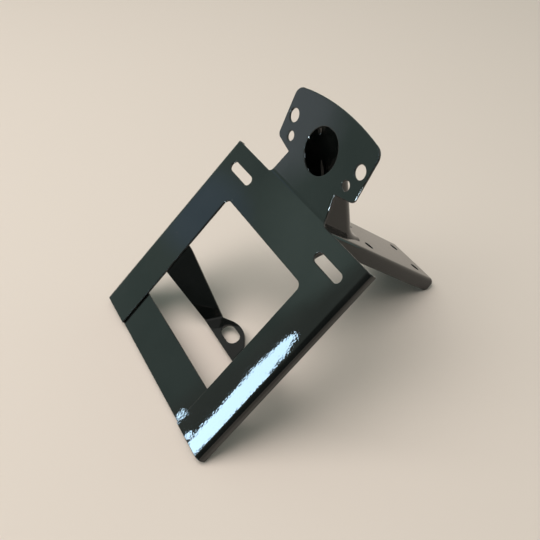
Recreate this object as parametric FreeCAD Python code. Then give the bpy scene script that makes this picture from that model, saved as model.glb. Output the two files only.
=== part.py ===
import FreeCAD, Part
import math
import os

from FreeCAD import Placement, Rotation, Vector

# Tail light bracket: welded, painted sheet steel, in millimetres.
# Every piece is drawn in the face plate's own frame and then leaned back as the bracket stands.
# Face frame: X across the plate, Y up the plate from its top edge, Z out of the face.

# Face plate
plate_width = 161.0
plate_height = 154.0
plate_sheet = 1.6
side_fold_depth = 7.0
side_fold_radius = 2.4

# Window between the two rails, open at the bottom
window_width = 97.8
window_drop = 34.3
window_corner = 4.5

# Licence plate slots
slot_spacing = 110.0
slot_length = 26.5
slot_width = 7.0
slot_drop = 15.4

# Neck between face plate and lamp plate
neck_overlap = 8.0
neck_base_left = 35.2
neck_base_right = 30.4
neck_top_left = 27.3
neck_top_right = 26.9
neck_length = 16.9
neck_notch_left = 3.0
neck_notch_right = 4.0

# Lamp plate, bent forward over a line just above the face plate's top edge
lamp_bend_rise = 2.5
lamp_bend_angle = 21.5
lamp_bend_radius = 10.0
lamp_shoulder_width = 87.2
lamp_shoulder_rise = 20.9
lamp_shoulder_corner = 4.0
lamp_top_width = 90.6
lamp_top_rise = 60.8
lamp_top_radius = 180.0
lamp_top_corner = 7.0
wiring_hole = 30.4
wiring_hole_rise = 31.8
lamp_stud_hole = 9.2
lamp_stud_spacing = 73.4
lamp_stud_rise = 38.3
lamp_screw_hole = 6.6
lamp_screw_spacing = 63.2
lamp_screw_rise = 26.0

# Strip that closes the rails at the bottom, on their back
strip_end_clearance = 2.5
strip_height = 29.5
strip_sheet = 1.6

# Fender tongue: a channel that runs back from the face plate
tongue_sheet = 2.0
tongue_width = 54.0
tongue_drop = 4.1
tongue_rise_angle = 7.0
tongue_length = 155.0
tongue_end_radius = 500.0
tongue_fold_radius = 2.0
tongue_wall = 10.3
tongue_tip_corner = 4.5
tongue_root_wall = 26.0
tongue_flare_start = 25.2
tongue_flare_angle = 60.0
tongue_flare_radius = 18.0
tongue_root_corner = 5.0
fender_hole = 7.0
fender_hole_spacing = 26.6
fender_hole_front = 75.5
fender_hole_rear_margin = 14.1
lead_hole = 16.0
lead_hole_run = 22.0

# Lamp hood: a formed cover from the tongue up to the back of the lamp plate
hood_sheet = 1.5
hood_width = 33.6
hood_corner = 6.8
hood_slope = 40.2
hood_heel = 52.9
hood_heel_radius = 28.0
hood_foot = 0.5
hood_foot_set = 0.3

# Lower stay: a folded strap behind the window with a bolt tab in the middle
stay_sheet = 2.0
stay_fold_radius = 2.0
stay_root_half = 48.3
stay_root_flange = 14.0
stay_root_top = 77.8
stay_root_bottom = 103.5
stay_root_corner = 3.0
stay_tab_half = 21.9
stay_tab_drop = 114.4
stay_tab_depth = 36.3
stay_tab_tilt = 31.3
stay_ear_start = 12.0
stay_ear_apex = 21.5
stay_ear_radius = 20.0
stay_leg_corner = 6.0
stay_hole_length = 17.5
stay_hole_width = 10.1
stay_hole_rise = 9.85

# Length by which cutting bodies pass the faces they cut
overcut = 5.0

AXIS_X = Vector(1, 0, 0)


def turned_about_x(origin, degrees):
    """Placement at an origin, turned about X."""
    return Placement(origin, Rotation(AXIS_X, degrees))


def rounded_outline(corners):
    """Closed wire through (x, y, radius) corners, with an arc of that radius at each corner."""
    points = [Vector(x, y, 0) for x, y, _ in corners]
    starts = []
    ends = []
    middles = []
    for index, (_, _, radius) in enumerate(corners):
        point = points[index]
        back = (points[index - 1] - point).normalize()
        ahead = (points[(index + 1) % len(points)] - point).normalize()
        half_angle = back.getAngle(ahead) / 2
        run = radius / math.tan(half_angle)
        starts.append(point + back * run)
        ends.append(point + ahead * run)
        bisector = (back + ahead).normalize()
        middles.append(point + bisector * (radius / math.sin(half_angle) - radius))
    edges = []
    for index, (_, _, radius) in enumerate(corners):
        if radius > 0:
            edges.append(Part.Arc(starts[index], middles[index], ends[index]).toShape())
        following = starts[(index + 1) % len(corners)]
        edges.append(Part.LineSegment(ends[index], following).toShape())
    return Part.Wire(edges)


def slot_outline(x, y, length, width):
    """Closed wire of a slot along X, centred at (x, y)."""
    radius = width / 2
    reach = length / 2 - radius
    lower_left = Vector(x - reach, y - radius, 0)
    lower_right = Vector(x + reach, y - radius, 0)
    upper_right = Vector(x + reach, y + radius, 0)
    upper_left = Vector(x - reach, y + radius, 0)
    return Part.Wire([
        Part.LineSegment(lower_left, lower_right).toShape(),
        Part.Arc(lower_right, Vector(x + reach + radius, y, 0), upper_right).toShape(),
        Part.LineSegment(upper_right, upper_left).toShape(),
        Part.Arc(upper_left, Vector(x - reach - radius, y, 0), lower_left).toShape(),
    ])


def slab(wire, low, high):
    """Solid over a flat outline, between two heights along Z."""
    face = Part.Face(wire)
    face.translate(Vector(0, 0, low))
    return face.extrude(Vector(0, 0, high - low))


def moved(shape, placement):
    """Copy of a shape carried by a placement."""
    return shape.transformed(placement.toMatrix())


def round_hole(x, y, diameter, depth):
    """Drill along Z through a sheet whose front is at Z = 0 and whose thickness is depth."""
    return Part.makeCylinder(diameter / 2, depth + 2 * overcut, Vector(x, y, -depth - overcut))


def channel_outline(width, wall, sheet, fold_radius):
    """Section of a folded channel: back on y = 0, walls down to y = -wall."""
    half = width / 2
    outer = fold_radius + sheet
    return rounded_outline([
        (-half, -wall, 0),
        (-half, 0, outer),
        (half, 0, outer),
        (half, -wall, 0),
        (half - sheet, -wall, 0),
        (half - sheet, -sheet, fold_radius),
        (-half + sheet, -sheet, fold_radius),
        (-half + sheet, -wall, 0),
    ])


def half_space(point, normal, size):
    """Block on the side of a plane that its normal points to."""
    block = Part.makeBox(2 * size, 2 * size, size, Vector(-size, -size, 0))
    return moved(block, Placement(point, Rotation(Vector(0, 0, 1), normal)))


def edges_through(shape, points):
    """Edges of a shape that pass through any of the given points."""
    found = []
    for edge in shape.Edges:
        if any(edge.distToShape(Part.Vertex(point))[0] < 1e-4 for point in points):
            found.append(edge)
    return found


lamp_frame = turned_about_x(Vector(0, lamp_bend_rise, 0), lamp_bend_angle)
tongue_frame = turned_about_x(Vector(0, -tongue_drop, 0), tongue_rise_angle - 90)


def lamp_plate():
    """Flat lamp plate with its arched top, before its holes."""
    shoulder = lamp_shoulder_width / 2
    top = lamp_top_width / 2
    shoulder_slope = (lamp_shoulder_rise - neck_length) / (shoulder - neck_top_left)
    outline = rounded_outline([
        (0, lamp_shoulder_rise - shoulder_slope * shoulder, 0),
        (shoulder, lamp_shoulder_rise, lamp_shoulder_corner),
        (top, lamp_top_rise + overcut, 0),
        (-top, lamp_top_rise + overcut, 0),
        (-shoulder, lamp_shoulder_rise, lamp_shoulder_corner),
    ])
    blank = slab(outline, -plate_sheet, 0)
    arch_centre = Vector(0, lamp_top_rise - lamp_top_radius, -plate_sheet)
    blank = blank.common(Part.makeCylinder(lamp_top_radius, plate_sheet, arch_centre))
    middle = (lamp_shoulder_rise + lamp_top_rise) / 2
    corners = [edge for edge in blank.Edges if edge.BoundBox.YMin > middle and edge.BoundBox.XLength < 1e-6]
    return moved(blank.makeFillet(lamp_top_corner, corners), lamp_frame)


def neck():
    """Bent sheet between face plate and lamp plate, with its flared edges and notches."""
    lean = math.radians(lamp_bend_angle)
    reach = neck_length + overcut
    front_end = Vector(lamp_bend_rise + reach * math.cos(lean), reach * math.sin(lean), 0)
    back_end = front_end + Vector(math.sin(lean), -math.cos(lean), 0) * plate_sheet
    back_fold = lamp_bend_rise + plate_sheet * math.tan(lean / 2)
    bent_section = rounded_outline([
        (-neck_overlap, 0, 0),
        (lamp_bend_rise, 0, lamp_bend_radius),
        (front_end.x, front_end.y, 0),
        (back_end.x, back_end.y, 0),
        (back_fold, -plate_sheet, lamp_bend_radius + plate_sheet),
        (-neck_overlap, -plate_sheet, 0),
    ])
    bent_sheet = slab(bent_section, -plate_width / 2, plate_width / 2)
    bent_sheet = moved(bent_sheet, Placement(Vector(0, 0, 0), Rotation(Vector(1, 1, 1), 120)))
    top = lamp_bend_rise + neck_length * math.cos(lean)
    crown = top + overcut / 2
    rise_share = crown / top
    crown_left = neck_base_left + (neck_top_left - neck_base_left) * rise_share
    crown_right = neck_base_right + (neck_top_right - neck_base_right) * rise_share
    left_end = neck_base_left + neck_notch_left + neck_overlap
    right_end = neck_base_right + neck_notch_right + neck_overlap
    outline = rounded_outline([
        (-left_end, -neck_overlap, 0),
        (right_end, -neck_overlap, 0),
        (right_end, 0, 0),
        (neck_base_right, 0, neck_notch_right),
        (crown_right, crown, 0),
        (-crown_left, crown, 0),
        (-neck_base_left, 0, neck_notch_left),
        (-left_end, 0, 0),
    ])
    return bent_sheet.common(slab(outline, -plate_height, plate_height))


def main_plate():
    """Face plate with folded sides, neck and lamp plate, all bent from one sheet."""
    section = channel_outline(plate_width, side_fold_depth, plate_sheet, side_fold_radius)
    face = moved(slab(section, 0, plate_height), turned_about_x(Vector(0, 0, 0), 90))
    sheet = face.multiFuse([neck(), lamp_plate()]).removeSplitter()
    half = window_width / 2
    window = rounded_outline([
        (-half, -plate_height - overcut, 0),
        (half, -plate_height - overcut, 0),
        (half, -window_drop, window_corner),
        (-half, -window_drop, window_corner),
    ])
    cuts = [slab(window, -plate_sheet - overcut, overcut)]
    for side in (-1, 1):
        slot = slot_outline(side * slot_spacing / 2, -slot_drop, slot_length, slot_width)
        cuts.append(slab(slot, -plate_sheet - overcut, overcut))
    lamp_holes = [round_hole(0, wiring_hole_rise, wiring_hole, plate_sheet)]
    for side in (-1, 1):
        lamp_holes.append(round_hole(side * lamp_stud_spacing / 2, lamp_stud_rise, lamp_stud_hole, plate_sheet))
        lamp_holes.append(round_hole(side * lamp_screw_spacing / 2, lamp_screw_rise, lamp_screw_hole, plate_sheet))
    cuts += [moved(hole, lamp_frame) for hole in lamp_holes]
    return sheet.cut(cuts)


def bottom_strip():
    """Flat strip across the lower ends of the rails, against their back."""
    half = plate_width / 2 - plate_sheet - side_fold_radius - strip_end_clearance
    corner = Vector(-half, -plate_height, -plate_sheet - strip_sheet)
    return Part.makeBox(2 * half, strip_height, strip_sheet, corner)


def fender_tongue():
    """Channel with flared roots, rounded wall ends, fender holes and the lead hole."""
    section = channel_outline(tongue_width, tongue_root_wall, tongue_sheet, tongue_fold_radius)
    channel = slab(section, -tongue_length, plate_width)
    channel = moved(channel, turned_about_x(Vector(0, 0, 0), 90))
    flare_run = (tongue_root_wall - tongue_wall) / math.tan(math.radians(tongue_flare_angle))
    side = rounded_outline([
        (-overcut * 2, overcut, 0),
        (-overcut * 2, -tongue_root_wall, 0),
        (tongue_flare_start - flare_run, -tongue_root_wall, tongue_root_corner),
        (tongue_flare_start, -tongue_wall, tongue_flare_radius),
        (tongue_length, -tongue_wall, tongue_tip_corner),
        (tongue_length, overcut, 0),
    ])
    side_body = slab(side, -tongue_width, tongue_width)
    side_body = moved(side_body, Placement(Vector(0, 0, 0), Rotation(Vector(1, 1, 1), 120)))
    end_centre = Vector(0, tongue_length - tongue_end_radius, -tongue_root_wall - overcut)
    end_body = Part.makeCylinder(tongue_end_radius, tongue_root_wall + 2 * overcut, end_centre)
    tongue = channel.common(side_body).common(end_body)
    holes = [round_hole(0, lead_hole_run, lead_hole, tongue_sheet)]
    for run in (fender_hole_front, tongue_length - fender_hole_rear_margin):
        for side in (-1, 1):
            holes.append(round_hole(side * fender_hole_spacing / 2, run, fender_hole, tongue_sheet))
    tongue = moved(tongue.cut(holes), tongue_frame)
    return tongue.cut(half_space(Vector(0, 0, -plate_sheet), Vector(0, 0, 1), plate_width))


def lamp_hood():
    """Hood formed from one sheet: a ramp with rounded edges that sweeps out flat onto the tongue."""
    reach = hood_heel + lamp_top_rise
    section = channel_outline(hood_width, reach, hood_sheet, hood_corner - hood_sheet)
    slope = math.radians(hood_slope)
    foot_top = hood_sheet - hood_foot_set
    run = hood_heel_radius * math.tan(slope / 2)
    foot_point = Vector(0, hood_heel + run, foot_top)
    ramp_point = Vector(0, hood_heel - run * math.cos(slope), foot_top + run * math.sin(slope))
    ramp = moved(slab(section, 0, reach), turned_about_x(ramp_point, 90 - hood_slope))
    foot_frame = turned_about_x(foot_point, 90)
    foot = moved(slab(section, -hood_foot, 0), foot_frame)
    heel_centre = foot_point + Vector(0, 0, hood_heel_radius)
    heel = moved(Part.Face(section), foot_frame).revolve(heel_centre, AXIS_X, -hood_slope)
    hood = ramp.multiFuse([heel, foot]).removeSplitter()
    hood = hood.cut(half_space(Vector(0, 0, 0), Vector(0, 0, -1), 2 * reach))
    hood = moved(hood, tongue_frame)
    before_back = half_space(Vector(0, 0, -plate_sheet), Vector(0, 0, 1), 2 * reach)
    return hood.cut(before_back.common(moved(before_back, lamp_frame)))


def stay_facet(point, normal):
    """Wide flat sheet whose front face holds the point and looks along the normal."""
    size = plate_width
    sheet = Part.makeBox(2 * size, 2 * size, stay_sheet, Vector(-size, -size, -stay_sheet))
    return moved(sheet, Placement(point, Rotation(Vector(0, 0, 1), normal)))


def lower_stay():
    """Strap with root flanges on the rails, two slanting legs and a tilted tab with a slotted hole."""
    tilt = math.radians(stay_tab_tilt)
    leg_angle = math.atan2(stay_root_half - stay_tab_half, stay_tab_depth - plate_sheet)
    root_normal = Vector(0, 0, 1)
    tab_normal = Vector(0, math.sin(tilt), math.cos(tilt))
    tab_up = Vector(0, math.cos(tilt), -math.sin(tilt))
    tab_foot = Vector(0, -stay_tab_drop, -stay_tab_depth)
    facets = [stay_facet(tab_foot, tab_normal)]
    outer_folds = []
    inner_folds = []
    size = 4 * plate_width
    for side in (-1, 1):
        leg_normal = Vector(-side * math.cos(leg_angle), 0, math.sin(leg_angle))
        root_point = Vector(side * stay_root_half, -stay_root_bottom, -plate_sheet)
        tab_point = tab_foot + Vector(side * stay_tab_half, 0, 0)
        root_miter = root_normal - leg_normal
        tab_miter = leg_normal - tab_normal
        root = stay_facet(root_point, root_normal).cut(half_space(root_point, root_miter * -1, size))
        leg = stay_facet(root_point, leg_normal).cut(half_space(root_point, root_miter, size))
        leg = leg.cut(half_space(tab_point, tab_miter, size))
        facets[0] = facets[0].cut(half_space(tab_point, tab_miter * -1, size))
        facets += [root, leg]
        for point, first, second in ((root_point, root_normal, leg_normal), (tab_point, leg_normal, tab_normal)):
            depth_line = first + second
            back_point = point - depth_line * (stay_sheet / depth_line.dot(first))
            convex = point is root_point
            outer_folds.append(point if convex else back_point)
            inner_folds.append(back_point if convex else point)
    strap = facets[0].multiFuse(facets[1:]).removeSplitter()
    strap = strap.makeFillet(stay_fold_radius, edges_through(strap, inner_folds))
    strap = strap.makeFillet(stay_fold_radius + stay_sheet, edges_through(strap, outer_folds))
    cut_frame = turned_about_x(Vector(0, 0, 0), -stay_tab_tilt / 2)
    flatten = cut_frame.inverse()

    def seen(x, y, z, radius):
        """Corner of the strap's outline as seen along the trimming direction."""
        flat = flatten.multVec(Vector(x, y, z))
        return (flat.x, flat.y, radius)

    fold_run = stay_ear_start * math.sin(tilt) * math.tan(leg_angle)
    ear = tab_foot + tab_up * stay_ear_start
    apex = tab_foot + tab_up * stay_ear_apex
    outer = stay_root_half + stay_root_flange
    right_side = [
        seen(stay_tab_half, tab_foot.y, tab_foot.z, stay_leg_corner),
        seen(stay_root_half, -stay_root_bottom, -plate_sheet, stay_leg_corner),
        seen(outer, -stay_root_bottom, -plate_sheet, stay_root_corner),
        seen(outer, -stay_root_top, -plate_sheet, stay_root_corner),
        seen(stay_root_half, -stay_root_top, -plate_sheet, stay_leg_corner),
        seen(stay_tab_half - fold_run, ear.y, ear.z, stay_root_corner),
    ]
    left_side = [(-x, y, radius) for x, y, radius in reversed(right_side)]
    outline = rounded_outline(right_side + [seen(0, apex.y, apex.z, stay_ear_radius)] + left_side)
    strap = strap.common(moved(slab(outline, -plate_width, plate_width), cut_frame))
    hole = slot_outline(0, stay_hole_rise, stay_hole_length, stay_hole_width)
    hole = slab(hole, -stay_sheet - overcut, overcut)
    return strap.cut(moved(hole, turned_about_x(tab_foot, -stay_tab_tilt)))


def standing_lean():
    """Angle of the face plate to the ground when the bracket stands on its rails and the tongue's tip."""
    heel = Vector(0, -plate_height, -side_fold_depth)
    tip = Vector(0, tongue_length - tongue_tip_corner, tongue_tip_corner - tongue_wall)
    span = tongue_frame.multVec(tip) - heel
    return math.degrees(math.atan2(-span.z, span.y) + math.asin(tongue_tip_corner / span.Length))


def main():
    """Build every piece, lean the bracket as it stands and write one file for each piece."""
    pieces = {
        "main_plate": main_plate(),
        "bottom_strip": bottom_strip(),
        "fender_tongue": fender_tongue(),
        "lamp_hood": lamp_hood(),
        "lower_stay": lower_stay(),
    }
    lean = turned_about_x(Vector(0, 0, 0), standing_lean())
    standing = {name: moved(shape, lean) for name, shape in pieces.items()}
    box = Part.makeCompound(list(standing.values())).optimalBoundingBox(False, False)
    ground = Vector(0, -(box.YMin + box.YMax) / 2, -box.ZMin)
    os.makedirs("parts", exist_ok=True)
    for name, shape in standing.items():
        shape.translate(ground)
        shape.exportStep(f"parts/{name}.step")
        print(name, "volume", round(shape.Volume, 1), "solids", len(shape.Solids), "valid", shape.isValid())
    print("lean", round(standing_lean(), 3), "box", [round(v, 2) for v in (box.XLength, box.YLength, box.ZLength)])
    print("ground shift", [round(v, 3) for v in ground])


main()
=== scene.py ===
import logging
import math
from dataclasses import dataclass, field
from enum import Enum

import bmesh
import bpy
from mathutils import Euler, Matrix, Vector


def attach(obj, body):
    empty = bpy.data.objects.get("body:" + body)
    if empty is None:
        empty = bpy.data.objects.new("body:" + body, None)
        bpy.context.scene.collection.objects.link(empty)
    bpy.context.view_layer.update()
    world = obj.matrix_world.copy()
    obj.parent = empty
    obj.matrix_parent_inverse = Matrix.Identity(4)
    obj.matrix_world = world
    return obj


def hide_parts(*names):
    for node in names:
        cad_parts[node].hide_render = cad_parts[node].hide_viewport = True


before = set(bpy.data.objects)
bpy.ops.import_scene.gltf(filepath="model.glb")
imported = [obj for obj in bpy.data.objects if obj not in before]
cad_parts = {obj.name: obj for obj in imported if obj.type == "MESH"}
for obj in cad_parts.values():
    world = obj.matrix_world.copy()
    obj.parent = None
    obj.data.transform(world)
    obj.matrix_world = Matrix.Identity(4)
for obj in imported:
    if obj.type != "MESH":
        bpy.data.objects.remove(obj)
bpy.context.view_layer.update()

BODY = "root"
MILLIMETRE = 0.001
SIDES = ((-1.0, "left"), (1.0, "right"))

log = logging.getLogger("tail_light_bracket")

Colour = tuple[float, float, float]
Span = tuple[float, float]


class Solid(Enum):
    """CAD nodes that the painted pieces stand for."""

    MAIN_PLATE = "main_plate"
    BOTTOM_STRIP = "bottom_strip"
    FENDER_TONGUE = "fender_tongue"
    LAMP_HOOD = "lamp_hood"
    LOWER_STAY = "lower_stay"


class Slot(Enum):
    """Material slots of the record."""

    PAINT = "gloss_black_paint"


class Socket(Enum):
    """Kinds of sockets that the shader groups have."""

    VECTOR = "NodeSocketVector"
    VALUE = "NodeSocketFloat"


class LightShape(Enum):
    """Outlines of the soft boxes."""

    RECTANGLE = "RECTANGLE"
    ELLIPSE = "ELLIPSE"


class Reach(Enum):
    """Kinds of surfaces that a soft box lights."""

    MATTE = "matte"
    GLOSS = "gloss"


class NodeBench:
    """Adds and links the nodes of one node tree."""

    def __init__(self, tree: bpy.types.NodeTree) -> None:
        """Take the node tree of a material, a world or a shader group to work on."""
        self.tree = tree

    def add(self, kind: str, settings: dict | None = None, **inputs: object) -> bpy.types.Node:
        """Add a node.

        Args:
            kind: Blender's name of the node type.
            settings: Properties of the node itself.
            inputs: Socket values or sockets to link, by socket name with spaces as underscores.

        Returns:
            The new node.
        """
        node = self.tree.nodes.new(kind)
        for name, value in (settings or {}).items():
            setattr(node, name, value)
        for name, value in inputs.items():
            self.feed(node.inputs[name.replace("_", " ")], value)
        return node

    def feed(self, socket: bpy.types.NodeSocket, value: object) -> None:
        """Link a socket to an input, or set its value.

        Args:
            socket: The input socket.
            value: An output socket, a number, a vector or a colour.
        """
        if isinstance(value, bpy.types.NodeSocket):
            self.tree.links.new(value, socket)
        else:
            socket.default_value = value

    def maths(self, operation: str, first: object, second: object) -> bpy.types.NodeSocket:
        """Add a Math node.

        Args:
            operation: Blender's name of the operation.
            first: First value or socket.
            second: Second value or socket.

        Returns:
            The node's output.
        """
        node = self.add("ShaderNodeMath", {"operation": operation})
        self.feed(node.inputs[0], first)
        self.feed(node.inputs[1], second)
        return node.outputs[0]

    def dot(self, first: object, second: object) -> bpy.types.NodeSocket:
        """Add a dot product.

        Args:
            first: First vector or socket.
            second: Second vector or socket.

        Returns:
            The product.
        """
        node = self.add("ShaderNodeVectorMath", {"operation": "DOT_PRODUCT"})
        self.feed(node.inputs[0], first)
        self.feed(node.inputs[1], second)
        return node.outputs["Value"]

    def spread(self, value: bpy.types.NodeSocket, given: Span,
               result: Span = (0.0, 1.0)) -> bpy.types.NodeSocket:
        """Map a range of a value smoothly to another range.

        Args:
            value: The socket to map.
            given: Values that become the ends of the result.
            result: Ends of the new range.

        Returns:
            The mapped value.
        """
        node = self.add("ShaderNodeMapRange", {"interpolation_type": "SMOOTHSTEP"}, Value=value,
                        From_Min=given[0], From_Max=given[1], To_Min=result[0], To_Max=result[1])
        return node.outputs["Result"]

    def blend(self, share: bpy.types.NodeSocket, first: object, second: object) -> bpy.types.NodeSocket:
        """Mix two colours.

        Args:
            share: Socket from 0, all first, to 1, all second.
            first: First colour or socket.
            second: Second colour or socket.

        Returns:
            The mixed colour.
        """
        node = self.add("ShaderNodeMix", {"data_type": "RGBA"})
        colour_inputs = [socket for socket in node.inputs if socket.type == "RGBA"]
        self.feed(node.inputs[0], share)
        self.feed(colour_inputs[0], first)
        self.feed(colour_inputs[1], second)
        return next(socket for socket in node.outputs if socket.type == "RGBA")


def opaque(colour: Colour) -> tuple[float, float, float, float]:
    """Give a colour full alpha."""
    return (*colour, 1.0)


class PaintEffects:
    """Shader groups that the paint finishes share, each built once."""

    _made: dict[str, bpy.types.NodeTree] = {}

    @classmethod
    def _start(cls, name: str, inputs: dict[str, Socket], output: str) -> NodeBench:
        """Open a new shader group with its sockets.

        Args:
            name: The group's name.
            inputs: Input sockets by name.
            output: Name of the one value that it puts out.

        Returns:
            A bench on the group's tree.
        """
        tree = bpy.data.node_groups.new(name, "ShaderNodeTree")
        for label, kind in inputs.items():
            tree.interface.new_socket(label, in_out="INPUT", socket_type=kind.value)
        tree.interface.new_socket(output, in_out="OUTPUT", socket_type=Socket.VALUE.value)
        cls._made[name] = tree
        return NodeBench(tree)

    @classmethod
    def orange_peel(cls) -> bpy.types.NodeTree:
        """Ripple of sprayed paint: a fine cell structure on a longer swell.

        Returns:
            The group, from Place, Cells, Cell Height and Swells to Height.
        """
        name = "orange_peel"
        if name not in cls._made:
            sockets = {"Place": Socket.VECTOR, "Cells": Socket.VALUE, "Cell Height": Socket.VALUE,
                       "Swells": Socket.VALUE}
            bench = cls._start(name, sockets, "Height")
            given = bench.add("NodeGroupInput").outputs
            cells = bench.add("ShaderNodeTexNoise", Vector=given["Place"], Scale=given["Cells"],
                              Detail=1.0, Roughness=0.4)
            swells = bench.add("ShaderNodeTexNoise", Vector=given["Place"], Scale=given["Swells"], Detail=0.0)
            cell = bench.maths("MULTIPLY", cells.outputs[0], given["Cell Height"])
            bench.add("NodeGroupOutput", Height=bench.maths("ADD", swells.outputs[0], cell))
        return cls._made[name]

    @classmethod
    def dust(cls) -> bpy.types.NodeTree:
        """Sparse specks of dust, one at most in each cell.

        Returns:
            The group, from Place, Cells, Speck and Share to Mask.
        """
        name = "settled_dust"
        if name not in cls._made:
            sockets = {"Place": Socket.VECTOR, "Cells": Socket.VALUE, "Speck": Socket.VALUE,
                       "Share": Socket.VALUE}
            bench = cls._start(name, sockets, "Mask")
            given = bench.add("NodeGroupInput").outputs
            cells = bench.add("ShaderNodeTexVoronoi", Vector=given["Place"], Scale=given["Cells"])
            speck = bench.maths("LESS_THAN", cells.outputs["Distance"], given["Speck"])
            draw = bench.add("ShaderNodeSeparateColor", Color=cells.outputs["Color"])
            chosen = bench.maths("LESS_THAN", draw.outputs[0], given["Share"])
            bench.add("NodeGroupOutput", Mask=bench.maths("MULTIPLY", speck, chosen))
        return cls._made[name]


@dataclass(frozen=True)
class PaintFinish:
    """Gloss paint sprayed on sheet steel, with its orange peel and a little dust."""

    name: str
    colour: Colour = (0.0045, 0.0055, 0.0053)
    cloud_colour: Colour = (0.0075, 0.0088, 0.0086)
    cloud_scale: float = 28.0
    cloud_detail: float = 4.0
    cloud_roughness: float = 0.55
    cloud_band: Span = (0.35, 0.65)
    gloss_band: Span = (0.3, 0.7)
    gloss: Span = (0.012, 0.022)
    peel_cells: float = 700.0
    cell_height: float = 0.22
    peel_swells: float = 75.0
    peel_depth: float = 0.000024
    dust_colour: Colour = (0.30, 0.29, 0.27)
    dust_cells: float = 90.0
    dust_speck: float = 0.022
    dust_share: float = 0.10
    dust_dullness: float = 0.6
    refraction: float = 1.5

    def material(self) -> bpy.types.Material:
        """Make the material of this finish.

        Returns:
            The material, which reads the piece's Object coordinates.
        """
        material = bpy.data.materials.new(self.name)
        material.use_nodes = True
        material.node_tree.nodes.clear()
        bench = NodeBench(material.node_tree)
        place = bench.add("ShaderNodeTexCoord").outputs["Object"]
        clouds = bench.add("ShaderNodeTexNoise", Vector=place, Scale=self.cloud_scale,
                           Detail=self.cloud_detail, Roughness=self.cloud_roughness).outputs[0]
        dust = bench.add("ShaderNodeGroup", {"node_tree": PaintEffects.dust()}, Place=place,
                         Cells=self.dust_cells, Speck=self.dust_speck, Share=self.dust_share).outputs["Mask"]
        peel = bench.add("ShaderNodeGroup", {"node_tree": PaintEffects.orange_peel()}, Place=place,
                         Cells=self.peel_cells, Cell_Height=self.cell_height,
                         Swells=self.peel_swells).outputs["Height"]
        cloudy = bench.spread(clouds, self.cloud_band)
        paint = bench.blend(cloudy, opaque(self.colour), opaque(self.cloud_colour))
        gloss = bench.spread(clouds, self.gloss_band, self.gloss)
        dull = bench.maths("MULTIPLY", dust, self.dust_dullness)
        bump = bench.add("ShaderNodeBump", Strength=1.0, Distance=self.peel_depth, Height=peel)
        shader = bench.add("ShaderNodeBsdfPrincipled",
                           Base_Color=bench.blend(dust, paint, opaque(self.dust_colour)),
                           Roughness=bench.maths("ADD", gloss, dull),
                           IOR=self.refraction, Normal=bump.outputs[0])
        bench.add("ShaderNodeOutputMaterial", Surface=shader.outputs[0])
        return material


@dataclass(frozen=True)
class FaceFrame:
    """The face plate's own frame in millimetres: X across, Y up from its top edge, Z out of the face."""

    lean: float = 42.558
    ground: tuple[float, float, float] = (0.0, -0.755, 109.313)
    lamp_rise: float = 2.5
    lamp_angle: float = 21.5
    tongue_drop: float = 4.1
    tongue_angle: float = -83.0

    def stand(self) -> Matrix:
        """Matrix from the face plate's millimetres to the standing bracket's metres."""
        lean = Matrix.Rotation(math.radians(self.lean), 4, "X")
        return Matrix.Scale(MILLIMETRE, 4) @ Matrix.Translation(self.ground) @ lean

    def outward(self, bend: float = 0.0) -> Vector:
        """Direction out of the front of a sheet that is bent up from the face plate by some degrees."""
        return Matrix.Rotation(math.radians(self.lean + bend), 3, "X") @ Vector((0.0, 0.0, 1.0))

    def on_lamp(self, x: float, rise: float, out: float) -> Vector:
        """Point across, up and out of the lamp plate, in the face plate's frame."""
        turned = Matrix.Rotation(math.radians(self.lamp_angle), 3, "X") @ Vector((x, rise, out))
        return turned + Vector((0.0, self.lamp_rise, 0.0))

    def on_tongue(self, x: float, run: float, out: float) -> Vector:
        """Point across, along and above the fender tongue, in the face plate's frame."""
        turned = Matrix.Rotation(math.radians(self.tongue_angle), 3, "X") @ Vector((x, run, out))
        return turned - Vector((0.0, self.tongue_drop, 0.0))


FACE = FaceFrame()


def linked(name: str, work: bmesh.types.BMesh) -> bpy.types.Object:
    """Turn a bmesh into a smooth object of the scene, and free it.

    Args:
        name: Name of the mesh and the object.
        work: The mesh in the making.

    Returns:
        The object, at the origin.
    """
    for face in work.faces:
        face.smooth = True
        face.material_index = 0
    mesh = bpy.data.meshes.new(name)
    work.to_mesh(mesh)
    work.free()
    piece = bpy.data.objects.new(name, mesh)
    bpy.context.scene.collection.objects.link(piece)
    return piece


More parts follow.
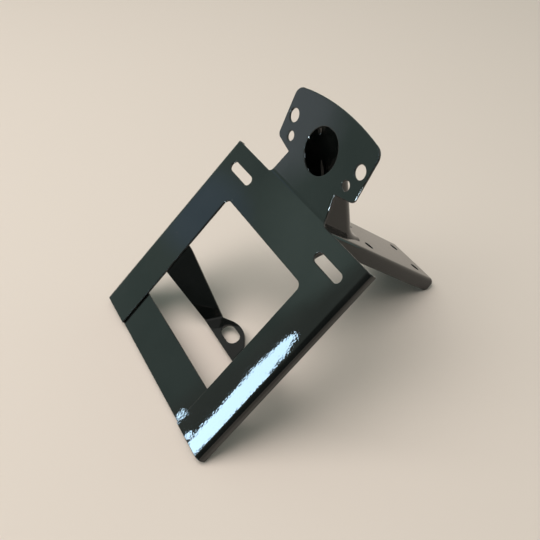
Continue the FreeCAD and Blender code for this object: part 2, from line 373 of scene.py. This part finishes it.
@dataclass(frozen=True)
class WeldSeam:
    """A painted-over weld bead along an inside corner between two sheets, in millimetres."""

    name: str
    path: tuple[Vector, ...]
    radius: float = 1.25
    scale_pitch: float = 1.7
    scale_height: float = 0.16
    blunt_end: float = 0.04
    wander: float = 0.10
    sway_rates: Span = (1.9, 1.3)
    step: float = 0.34
    sides: int = 10

    def stations(self) -> list[Vector]:
        """Space points evenly along the path.

        Returns:
            The points in the face plate's frame.
        """
        points = [self.path[0]]
        left_over = self.step
        for start, end in zip(self.path, self.path[1:]):
            length = (end - start).length
            along = left_over
            while along <= length:
                points.append(start.lerp(end, along / length))
                along += self.step
            left_over = along - length
        return points

    def thickness(self, along: float, total: float) -> float:
        """Radius of the bead, with its overlapping scales and rounded ends.

        Args:
            along: Distance from the start.
            total: Length of the bead.

        Returns:
            The radius in millimetres.
        """
        share = (along / self.scale_pitch) % 1.0
        scale = 1.0 + self.scale_height * (1.0 - (2.0 * share - 1.0) ** 2)
        end = min(along, total - along) / (2.0 * self.radius)
        return self.radius * scale * math.sqrt(min(1.0, max(self.blunt_end, end)))

    def ring_place(self, points: list[Vector], index: int) -> Matrix:
        """Stand a ring of the bead across the path, with a slight wander.

        Args:
            points: The stations.
            index: Number of the ring's station.

        Returns:
            Matrix from the ring's own millimetres to the standing bracket's metres.
        """
        along = index * self.step
        ahead = points[min(index + 1, len(points) - 1)] - points[max(index - 1, 0)]
        turn = ahead.to_track_quat("Z", "Y").to_matrix().to_4x4()
        across, upward = self.sway_rates
        sway = Vector((math.sin(along * across), math.cos(along * upward), 0.0)) * self.wander
        return FACE.stand() @ Matrix.Translation(points[index]) @ turn @ Matrix.Translation(sway)

    def build(self) -> bpy.types.Object:
        """Set rings along the path, bridge each to the next and close the two ends.

        Returns:
            The bead.
        """
        points = self.stations()
        last = len(points) - 1
        work = bmesh.new()
        rim: list[bmesh.types.BMEdge] = []
        for index in range(len(points)):
            radius = self.thickness(index * self.step, last * self.step)
            ring = bmesh.ops.create_circle(work, cap_ends=index in (0, last), segments=self.sides,
                                           radius=radius, matrix=self.ring_place(points, index))["verts"]
            next_rim = list(dict.fromkeys(edge for vert in ring for edge in vert.link_edges))
            if rim:
                bmesh.ops.bridge_loops(work, edges=rim + next_rim)
            rim = next_rim
        bmesh.ops.recalc_face_normals(work, faces=work.faces)
        return linked(self.name, work)


@dataclass
class SheetPiece:
    """A piece of painted sheet steel that keeps the form of its CAD solid and gets soft, sprayed edges.

    Radii and limits are in metres, as the mesh is. Places of welds are in the face plate's millimetres.
    """

    solid: Solid
    edge_radius: float = 0.5 * MILLIMETRE
    edge_segments: int = 3
    sharp_angle: float = math.radians(35.0)
    flat_angle: float = math.radians(0.2)
    merge_distance: float = 0.001 * MILLIMETRE
    shortest_edge: float = 0.2 * MILLIMETRE
    normal_weight: int = 100
    plate_back: float = -1.6
    corner_gap: float = 0.45
    pieces: list[bpy.types.Object] = field(default_factory=list)

    @property
    def seam_depth(self) -> float:
        """Depth of a bead's middle line just behind the plate that it lies on."""
        return self.plate_back - self.corner_gap

    def build(self) -> None:
        """Merge a copy of the solid's mesh, round its sheared edges, smooth its bends and add its welds."""
        work = bmesh.new()
        work.from_mesh(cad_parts[self.solid.value].data)
        bmesh.ops.remove_doubles(work, verts=work.verts, dist=self.merge_distance)
        bmesh.ops.dissolve_limit(work, angle_limit=self.flat_angle, verts=work.verts, edges=work.edges)
        bmesh.ops.remove_doubles(work, verts=work.verts, dist=self.shortest_edge)
        work.normal_update()
        bmesh.ops.bevel(work, geom=self.sheared_edges(work), offset=self.edge_radius, offset_type="OFFSET",
                        affect="EDGES", segments=self.edge_segments, profile=0.5, material=-1,
                        loop_slide=False)
        for edge in work.edges:
            edge.smooth = edge.calc_face_angle(0.0) < self.sharp_angle
        sheet = linked(self.solid.value + "_painted", work)
        normals = sheet.modifiers.new("flat_faces", "WEIGHTED_NORMAL")
        normals.mode = "FACE_AREA"
        normals.weight = self.normal_weight
        normals.keep_sharp = True
        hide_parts(self.solid.value)
        self.pieces = [sheet] + [seam.build() for seam in self.seams()]

    def sheared_edges(self, work: bmesh.types.BMesh) -> list[bmesh.types.BMEdge]:
        """Find the cut edges that the paint rounds.

        Args:
            work: The merged mesh of the solid.

        Returns:
            The sharp outer edges that lie against no neighbour.
        """
        convex = [edge for edge in work.edges if edge.is_convex]
        sharp = [edge for edge in convex if edge.calc_face_angle(0.0) > self.sharp_angle]
        return [edge for edge in sharp if not any(self.is_seat(face) for face in edge.link_faces)]

    def is_seat(self, face: bmesh.types.BMFace) -> bool:
        """Tell whether a face lies against a neighbour, so that its edges stay sharp."""
        return False

    def seams(self) -> list[WeldSeam]:
        """Welds that hold the piece to its neighbours: none, unless the piece has its own."""
        return []

    def dress(self, paint: bpy.types.Material) -> None:
        """Give the sheet and its welds their paint, their slot of the record and their body.

        Args:
            paint: The material.
        """
        for piece in self.pieces:
            piece.data.materials.clear()
            piece.data.materials.append(paint)
            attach(piece, BODY)


@dataclass
class FacePlate(SheetPiece):
    """Folded face plate with its neck and the bent lamp plate."""

    solid: Solid = Solid.MAIN_PLATE


@dataclass
class BottomStrip(SheetPiece):
    """Strip across the lower ends of the rails, welded to their back."""

    solid: Solid = Solid.BOTTOM_STRIP
    half_width: float = 74.0
    top: float = -124.5
    top_run: Span = (53.0, 68.0)
    end_run: Span = (7.0, 22.0)
    end_radius: float = 1.0

    def seams(self) -> list[WeldSeam]:
        """Short beads along the strip's top edge and its two ends.

        Returns:
            The beads on both rails.
        """
        found = []
        above = self.top + self.corner_gap
        for side, word in SIDES:
            beyond = side * (self.half_width + self.corner_gap)
            top = tuple(Vector((side * x, above, self.seam_depth)) for x in self.top_run)
            end = tuple(Vector((beyond, self.top - drop, self.seam_depth)) for drop in self.end_run)
            found.append(WeldSeam(f"strip_weld_top_{word}", top))
            found.append(WeldSeam(f"strip_weld_end_{word}", end, radius=self.end_radius))
        return found


@dataclass
class FenderTongue(SheetPiece):
    """Channel that runs back over the fender, welded to the back of the face plate."""

    solid: Solid = Solid.FENDER_TONGUE
    half_width: float = 27.0
    wall_run: Span = (-9.5, -27.0)
    top_run: Span = (17.5, 24.0)
    top_start: float = 2.0
    top_radius: float = 1.1

    def seams(self) -> list[WeldSeam]:
        """Beads down the outside of both walls and along the tongue's top.

        Returns:
            The beads on both sides.
        """
        found = []
        for side, word in SIDES:
            beside = side * (self.half_width + self.corner_gap)
            wall = tuple(Vector((beside, y, self.seam_depth)) for y in self.wall_run)
            top = tuple(FACE.on_tongue(side * x, self.top_start, self.corner_gap) for x in self.top_run)
            found.append(WeldSeam(f"tongue_weld_wall_{word}", wall))
            found.append(WeldSeam(f"tongue_weld_top_{word}", top, radius=self.top_radius))
        return found


@dataclass
class LampHood(SheetPiece):
    """Formed hood between the tongue and the back of the lamp plate."""

    solid: Solid = Solid.LAMP_HOOD
    edge_radius: float = 0.3 * MILLIMETRE
    seat_match: float = 0.9999
    half_width: float = 16.8
    corner: float = 6.8
    corner_stretch: float = 1.71
    corner_steps: int = 8
    top_rise: float = 50.1
    seam_start: float = 9.0

    def is_seat(self, face: bmesh.types.BMFace) -> bool:
        """Tell whether a face lies against the face plate, the lamp plate or the tongue."""
        seats = (FACE.outward(), FACE.outward(FACE.lamp_angle), -FACE.outward(FACE.tongue_angle))
        return max(face.normal.dot(seat) for seat in seats) > self.seat_match

    def seams(self) -> list[WeldSeam]:
        """One bead up both sides of the hood and over its top, against the lamp plate.

        Returns:
            The bead.
        """
        across = self.corner + self.corner_gap
        upward = self.corner * self.corner_stretch + self.corner_gap
        centre_x = self.half_width - self.corner
        centre_rise = self.top_rise - self.corner * self.corner_stretch
        half = [FACE.on_lamp(self.half_width + self.corner_gap, self.seam_start, self.seam_depth)]
        for step in range(self.corner_steps + 1):
            angle = 0.5 * math.pi * step / self.corner_steps
            x = centre_x + across * math.cos(angle)
            rise = centre_rise + upward * math.sin(angle)
            half.append(FACE.on_lamp(x, rise, self.seam_depth))
        mirrored = [Vector((-point.x, point.y, point.z)) for point in reversed(half)]
        return [WeldSeam("hood_weld", tuple(half + mirrored))]


@dataclass
class LowerStay(SheetPiece):
    """Folded strap with its bolt tab, welded to the back of the rails."""

    solid: Solid = Solid.LOWER_STAY
    edge_radius: float = 0.4 * MILLIMETRE
    flange_outer: float = 62.3
    flange_top: float = -77.8
    flange_bottom: float = -103.5
    flange_run: Span = (52.0, 59.0)
    outer_half: float = 7.0

    def seams(self) -> list[WeldSeam]:
        """Short beads at the top, the bottom and the outer edge of both root flanges.

        Returns:
            The beads on both rails.
        """
        found = []
        depth = self.seam_depth
        above = self.flange_top + self.corner_gap
        below = self.flange_bottom - self.corner_gap
        middle = (self.flange_top + self.flange_bottom) / 2.0
        outer_run = (middle - self.outer_half, middle + self.outer_half)
        for side, word in SIDES:
            beyond = side * (self.flange_outer + self.corner_gap)
            runs = {
                "top": [Vector((side * x, above, depth)) for x in self.flange_run],
                "bottom": [Vector((side * x, below, depth)) for x in self.flange_run],
                "outer": [Vector((beyond, y, depth)) for y in outer_run],
            }
            found += [WeldSeam(f"stay_weld_{place}_{word}", tuple(run)) for place, run in runs.items()]
        return found


@dataclass(frozen=True)
class PhotoCamera:
    """Camera at the photograph's place and angle."""

    place: tuple[float, float, float] = (0.28514, -0.18553, 0.36156)
    turn_degrees: tuple[float, float, float] = (47.134, -0.894, 60.572)
    lens: float = 44.0
    sensor: float = 36.0
    nearest: float = 0.01

    def build(self) -> bpy.types.Object:
        """Make the camera the scene's own.

        Returns:
            The camera object.
        """
        data = bpy.data.cameras.new("photo_camera")
        data.lens = self.lens
        data.sensor_width = self.sensor
        data.clip_start = self.nearest
        camera = bpy.data.objects.new("photo_camera", data)
        turn = Euler([math.radians(angle) for angle in self.turn_degrees])
        camera.matrix_world = Matrix.Translation(self.place) @ turn.to_matrix().to_4x4()
        bpy.context.scene.collection.objects.link(camera)
        bpy.context.scene.camera = camera
        return camera


def heading(azimuth: float, elevation: float) -> Vector:
    """Unit vector from the part.

    Args:
        azimuth: Degrees from the front, -Y, towards +X.
        elevation: Degrees above the horizon.

    Returns:
        The direction.
    """
    turn = math.radians(azimuth)
    rise = math.radians(elevation)
    return Vector((math.sin(turn) * math.cos(rise), -math.cos(turn) * math.cos(rise), math.sin(rise)))


@dataclass(frozen=True)
class SoftBox:
    """A flat studio light that looks at the part."""

    name: str
    azimuth: float
    elevation: float
    distance: float
    width: float
    height: float
    power: float
    colour: Colour
    reach: Reach
    roll: float = 0.0
    shape: LightShape = LightShape.RECTANGLE
    aim: tuple[float, float, float] = (0.0, 0.0, 0.06)

    def build(self) -> bpy.types.Object:
        """Place the light.

        Returns:
            The light object.
        """
        data = bpy.data.lights.new(self.name, "AREA")
        data.shape = self.shape.value
        data.size = self.width
        data.size_y = self.height
        data.energy = self.power
        data.color = self.colour
        lamp = bpy.data.objects.new(self.name, data)
        away = heading(self.azimuth, self.elevation)
        place = Matrix.Translation(Vector(self.aim) + away * self.distance)
        turn = away.to_track_quat("Z", "Y").to_matrix().to_4x4()
        lamp.matrix_world = place @ turn @ Matrix.Rotation(math.radians(self.roll), 4, "Z")
        lamp.visible_camera = False
        lamp.visible_diffuse = self.reach is Reach.MATTE
        lamp.visible_glossy = self.reach is Reach.GLOSS
        bpy.context.scene.collection.objects.link(lamp)
        return lamp


@dataclass(frozen=True)
class RoomPatch:
    """A soft, lighter place on the walls of the room, with its inner and outer radius in degrees."""

    azimuth: float
    elevation: float
    inner: float
    outer: float
    colour: Colour


@dataclass(frozen=True)
class Studio:
    """Pale floor, soft room light and the soft boxes."""

    floor_size: float = 2.6
    floor_colour: Colour = (0.72, 0.635, 0.585)
    floor_roughness: float = 1.0
    floor_specular: float = 0.0
    backdrop_colour: Colour = (0.56, 0.51, 0.45)
    room_black: Colour = (0.06, 0.07, 0.065)
    room_dark: Colour = (0.38, 0.45, 0.40)
    room_grey: Colour = (0.44, 0.61, 0.55)
    ceiling: Colour = (0.50, 0.48, 0.45)
    edge_high: Span = (-42.3, 32.0)
    edge_low: Span = (-36.0, 15.5)
    edge_band: Span = (-0.02, 0.02)
    black_band: Span = (-0.65, -0.25)
    ceiling_band: Span = (0.58, 0.85)
    warm: Colour = (1.0, 0.96, 0.90)
    cool: Colour = (0.72, 0.90, 1.0)
    sky: Colour = (0.56, 0.80, 1.0)
    window_roll: float = 25.6
    rim_roll: float = -8.4
    patches: tuple[RoomPatch, ...] = (
        RoomPatch(-45.0, 31.0, 2.0, 9.0, (0.72, 0.98, 0.88)),
        RoomPatch(-50.0, 2.5, 4.0, 8.0, (0.88, 1.02, 1.08)),
        RoomPatch(-51.0, 21.0, 1.0, 5.0, (0.54, 0.76, 0.92)),
    )

    def floor(self) -> bpy.types.Object:
        """Lay the floor below the part.

        Returns:
            The floor.
        """
        work = bmesh.new()
        bmesh.ops.create_grid(work, x_segments=1, y_segments=1, size=self.floor_size / 2)
        floor = linked("studio_floor", work)
        material = bpy.data.materials.new("pale_floor")
        material.use_nodes = True
        shader = material.node_tree.nodes["Principled BSDF"]
        shader.inputs["Base Color"].default_value = opaque(self.floor_colour)
        shader.inputs["Roughness"].default_value = self.floor_roughness
        shader.inputs["Specular IOR Level"].default_value = self.floor_specular
        floor.data.materials.append(material)
        return floor

    def room(self) -> bpy.types.World:
        """Make the soft light of the room: grey walls with lighter places, dark beyond a slanted edge.

        Returns:
            The world.
        """
        world = bpy.data.worlds.new("soft_room")
        bpy.context.scene.world = world
        world.use_nodes = True
        world.node_tree.nodes.clear()
        bench = NodeBench(world.node_tree)
        place = bench.add("ShaderNodeTexCoord").outputs["Generated"]
        walls = opaque(self.room_grey)
        for patch in self.patches:
            nearness = bench.dot(place, heading(patch.azimuth, patch.elevation))
            limits = (math.cos(math.radians(patch.outer)), math.cos(math.radians(patch.inner)))
            walls = bench.blend(bench.spread(nearness, limits), walls, opaque(patch.colour))
        across = heading(*self.edge_low).cross(heading(*self.edge_high)).normalized()
        offset = bench.dot(place, across)
        walls = bench.blend(bench.spread(offset, self.edge_band), opaque(self.room_dark), walls)
        walls = bench.blend(bench.spread(offset, self.black_band), opaque(self.room_black), walls)
        height = bench.add("ShaderNodeSeparateXYZ", Vector=place).outputs["Z"]
        walls = bench.blend(bench.spread(height, self.ceiling_band), walls, opaque(self.ceiling))
        is_camera = bench.add("ShaderNodeLightPath").outputs["Is Camera Ray"]
        seen = bench.blend(is_camera, walls, opaque(self.backdrop_colour))
        light = bench.add("ShaderNodeBackground", Color=seen, Strength=1.0)
        bench.add("ShaderNodeOutputWorld", Surface=light.outputs[0])
        return world

    def lights(self) -> list[bpy.types.Object]:
        """Set up the soft boxes: a key for the floor, and a window, a rim and two fills for the gloss.

        Returns:
            The light objects.
        """
        window = {"colour": self.sky, "reach": Reach.GLOSS, "roll": self.window_roll,
                  "shape": LightShape.ELLIPSE}
        boxes = (
            SoftBox("key_box", azimuth=-27.0, elevation=64.0, distance=1.6, width=1.4, height=1.4,
                    power=22.5, colour=self.warm, reach=Reach.MATTE),
            SoftBox("window_strip", azimuth=-29.88, elevation=17.4, distance=1.6, width=0.052, height=0.56,
                    power=1.84, **window),
            SoftBox("window_low", azimuth=-30.80, elevation=11.45, distance=1.612, width=0.008, height=0.048,
                    power=0.0273, **window),
            SoftBox("window_foot", azimuth=-28.63, elevation=11.73, distance=1.614, width=0.020, height=0.030,
                    power=0.0357, **window),
            SoftBox("rim_strip", azimuth=29.0, elevation=3.9, distance=1.2, width=0.40, height=0.10,
                    power=26.0, colour=self.cool, reach=Reach.GLOSS, roll=self.rim_roll),
            SoftBox("back_box", azimuth=160.0, elevation=52.0, distance=1.4, width=0.9, height=0.6,
                    power=4.0, colour=self.warm, reach=Reach.GLOSS),
            SoftBox("side_box", azimuth=100.0, elevation=44.0, distance=1.4, width=0.8, height=0.8,
                    power=4.5, colour=self.warm, reach=Reach.GLOSS),
        )
        return [box.build() for box in boxes]


def main() -> None:
    """Build the pieces, dress them, report them and set up the studio."""
    logging.basicConfig(level=logging.INFO, format="%(name)s: %(message)s")
    paint = PaintFinish(Slot.PAINT.value).material()
    for sheet in (FacePlate(), BottomStrip(), FenderTongue(), LampHood(), LowerStay()):
        sheet.build()
        sheet.dress(paint)
        for piece in sheet.pieces:
            log.info("%s: %d faces", piece.name, len(piece.data.polygons))
    studio = Studio()
    studio.floor()
    studio.room()
    studio.lights()
    PhotoCamera().build()
    bpy.context.scene.view_settings.view_transform = "Standard"


if __name__ == "__main__":
    main()
